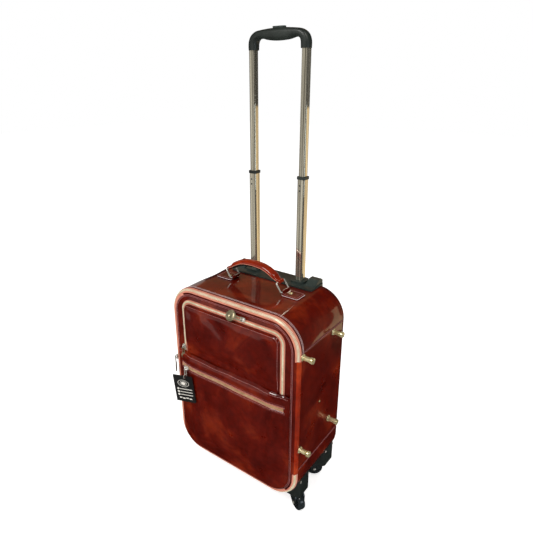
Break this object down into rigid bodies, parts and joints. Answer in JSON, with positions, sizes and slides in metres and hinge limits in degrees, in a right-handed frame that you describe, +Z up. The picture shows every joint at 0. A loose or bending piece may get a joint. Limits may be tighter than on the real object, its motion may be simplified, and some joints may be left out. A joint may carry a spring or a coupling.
{
  "type": "pilot rolling flight case",
  "caption": "Leather cabin trolley case with a zipped, hinged front lid that carries pockets, a carry handle, brass side feet, spinner casters and a telescopic pull handle.",
  "frame": {"origin": "on the floor, under the middle of the object's bounding box", "axes": "+Z up, +Y to the back (pull handle side), +X to the right (side feet and lid hinge side)"},
  "size_m": [0.4, 0.2336, 1.0375],
  "materials": {
    "leather": "glossy, near patent",
    "bright_leather": "glossy",
    "zip_tape": "woven tape with pale gold teeth",
    "brass": "polished",
    "chrome": "polished",
    "steel": "plain",
    "black_plastic": "satin",
    "tread": "smooth",
    "lining_cloth": "woven",
    "board": "fibreboard",
    "card": "coated"
  },
  "bodies": {
    "case": {"case_top_wrap": "leather", "case_bottom_wrap": "leather", "case_side_right": "leather", "case_side_left": "leather", "case_back_panel": "leather", "inner_board": "board", "case_lining": "lining_cloth", "main_zip_case_side": "zip_tape", "lid_hinge_strip": "bright_leather", "side_foot_1": "brass", "side_foot_2": "brass", "side_foot_3": "brass", "side_foot_4": "brass", "side_handle": "leather", "handle_bezel": "black_plastic", "outer_tube_left": "steel", "outer_tube_right": "steel", "tube_base_bracket": "black_plastic", "handle_tab_left": "bright_leather", "handle_tab_right": "bright_leather", "caster_housing_front_right": "black_plastic", "caster_housing_rear_right": "black_plastic", "caster_housing_front_left": "black_plastic", "caster_housing_rear_left": "black_plastic"},
    "mid_stage": {"mid_tube_left": "chrome", "mid_tube_right": "chrome", "mid_collar_left": "black_plastic", "mid_collar_right": "black_plastic"},
    "upper_stage": {"upper_tube_left": "chrome", "upper_tube_right": "chrome", "grip": "black_plastic"},
    "button": {"release_button": "black_plastic"},
    "ring_left": {"handle_ring_left": "brass"},
    "carry_handle": {"carry_handle": "bright_leather"},
    "ring_right": {"handle_ring_right": "brass"},
    "lid": {"lid_panel": "leather", "lid_lining": "lining_cloth", "main_zip_lid_side": "zip_tape", "upper_pocket": "leather", "upper_pocket_zip": "zip_tape", "lower_pocket": "leather", "lower_pocket_zip": "zip_tape"},
    "main_slider": {"main_slider": "brass"},
    "main_pull": {"main_pull": "brass"},
    "upper_slider_a": {"upper_slider_a": "brass"},
    "upper_pull_a": {"upper_pull_a": "brass"},
    "upper_slider_b": {"upper_slider_b": "brass"},
    "upper_pull_b": {"upper_pull_b": "brass"},
    "lower_slider": {"lower_slider": "brass"},
    "lower_pull": {"lower_pull": "brass"},
    "tag": {"hang_tag": "card", "tag_chain": "brass"},
    "fork_front_right": {"caster_fork_front_right": "black_plastic"},
    "wheel_front_right": {"caster_wheel_front_right": "tread"},
    "fork_rear_right": {"caster_fork_rear_right": "black_plastic"},
    "wheel_rear_right": {"caster_wheel_rear_right": "tread"},
    "fork_front_left": {"caster_fork_front_left": "black_plastic"},
    "wheel_front_left": {"caster_wheel_front_left": "tread"},
    "fork_rear_left": {"caster_fork_rear_left": "black_plastic"},
    "wheel_rear_left": {"caster_wheel_rear_left": "tread"}
  },
  "joints": [
    {"name": "lid_hinge", "type": "hinge", "parent": "case", "child": "lid", "pos_m": [0.17178, -0.07803, 0.281], "axis": [0, 0, 1], "range_deg": [0, 130]},
    {"name": "mid_slide", "type": "slide", "parent": "case", "child": "mid_stage", "axis": [0, 0, 1], "range_m": [-0.228, 0]},
    {"name": "upper_slide", "type": "slide", "parent": "mid_stage", "child": "upper_stage", "axis": [0, 0, 1], "range_m": [-0.244, 0]},
    {"name": "button_press", "type": "slide", "parent": "upper_stage", "child": "button", "axis": [0, 0, -1], "range_m": [0, 0.003], "stiffness_N_per_m": 400, "springref_m": -0.002},
    {"name": "handle_swing", "type": "hinge", "parent": "case", "child": "ring_left", "pos_m": [-0.07, 0.02575, 0.5142], "axis": [0, 1, 0], "range_deg": [0, 70]},
    {"name": "handle_level", "type": "hinge", "parent": "ring_left", "child": "carry_handle", "pos_m": [-0.08319, 0.02575, 0.53304], "axis": [0, 1, 0], "range_deg": [-70, 0]},
    {"name": "right_ring_swing", "type": "hinge", "parent": "case", "child": "ring_right", "pos_m": [0.07, 0.02575, 0.5142], "axis": [0, 1, 0], "range_deg": [0, 70]},
    {"name": "main_zip_slide", "type": "slide", "parent": "lid", "child": "main_slider", "axis": [0, 0, 1], "range_m": [-0.179, 0.116]},
    {"name": "main_pull_swing", "type": "hinge", "parent": "main_slider", "child": "main_pull", "pos_m": [-0.17638, -0.08263, 0.311], "axis": [-0.7071, 0.7071, 0], "range_deg": [0, 150]},
    {"name": "upper_zip_slide_a", "type": "slide", "parent": "lid", "child": "upper_slider_a", "axis": [1, 0, 0], "range_m": [-0.14, 0.07]},
    {"name": "upper_pull_a_swing", "type": "hinge", "parent": "upper_slider_a", "child": "upper_pull_a", "pos_m": [0.041, -0.0906, 0.48533], "axis": [0, 0.5736, 0.8192], "range_deg": [0, 150]},
    {"name": "upper_zip_slide_b", "type": "slide", "parent": "lid", "child": "upper_slider_b", "axis": [0, 0, 1], "range_m": [0, 0.09]},
    {"name": "upper_pull_b_swing", "type": "hinge", "parent": "upper_slider_b", "child": "upper_pull_b", "pos_m": [-0.137, -0.09105, 0.357], "axis": [-1, 0, 0], "range_deg": [0, 5]},
    {"name": "lower_zip_slide", "type": "slide", "parent": "lid", "child": "lower_slider", "axis": [1, 0, 0], "range_m": [-0.014, 0.255]},
    {"name": "lower_pull_swing", "type": "hinge", "parent": "lower_slider", "child": "lower_pull", "pos_m": [-0.122, -0.10435, 0.309], "axis": [-1, 0, 0], "range_deg": [0, 110]},
    {"name": "tag_swing", "type": "hinge", "parent": "lower_pull", "child": "tag", "pos_m": [-0.122, -0.10435, 0.2917], "axis": [-1, 0, 0], "range_deg": [0, 60]},
    {"name": "swivel_front_right", "type": "hinge", "parent": "case", "child": "fork_front_right", "pos_m": [0.148, -0.03425, 0.045], "axis": [0, 0, 1], "continuous": true},
    {"name": "wheel_front_right", "type": "hinge", "parent": "fork_front_right", "child": "wheel_front_right", "pos_m": [0.16036, -0.04082, 0.0205], "axis": [0.4695, 0.8829, 0], "continuous": true},
    {"name": "swivel_rear_right", "type": "hinge", "parent": "case", "child": "fork_rear_right", "pos_m": [0.148, 0.08175, 0.045], "axis": [0, 0, 1], "continuous": true},
    {"name": "wheel_rear_right", "type": "hinge", "parent": "fork_rear_right", "child": "wheel_rear_right", "pos_m": [0.13667, 0.07352, 0.0205], "axis": [0.5878, -0.809, 0], "continuous": true},
    {"name": "swivel_front_left", "type": "hinge", "parent": "case", "child": "fork_front_left", "pos_m": [-0.148, -0.03425, 0.045], "axis": [0, 0, 1], "continuous": true},
    {"name": "wheel_front_left", "type": "hinge", "parent": "fork_front_left", "child": "wheel_front_left", "pos_m": [-0.139, -0.02353, 0.0205], "axis": [-0.766, 0.6428, 0], "continuous": true},
    {"name": "swivel_rear_left", "type": "hinge", "parent": "case", "child": "fork_rear_left", "pos_m": [-0.148, 0.08175, 0.045], "axis": [0, 0, 1], "continuous": true},
    {"name": "wheel_rear_left", "type": "hinge", "parent": "fork_rear_left", "child": "wheel_rear_left", "pos_m": [-0.16116, 0.08654, 0.0205], "axis": [-0.342, -0.9397, 0], "continuous": true}
  ],
  "couplings": [
    {"joint": "handle_level", "follows": "handle_swing", "ratio": -1},
    {"joint": "right_ring_swing", "follows": "handle_swing", "ratio": 1}
  ]
}
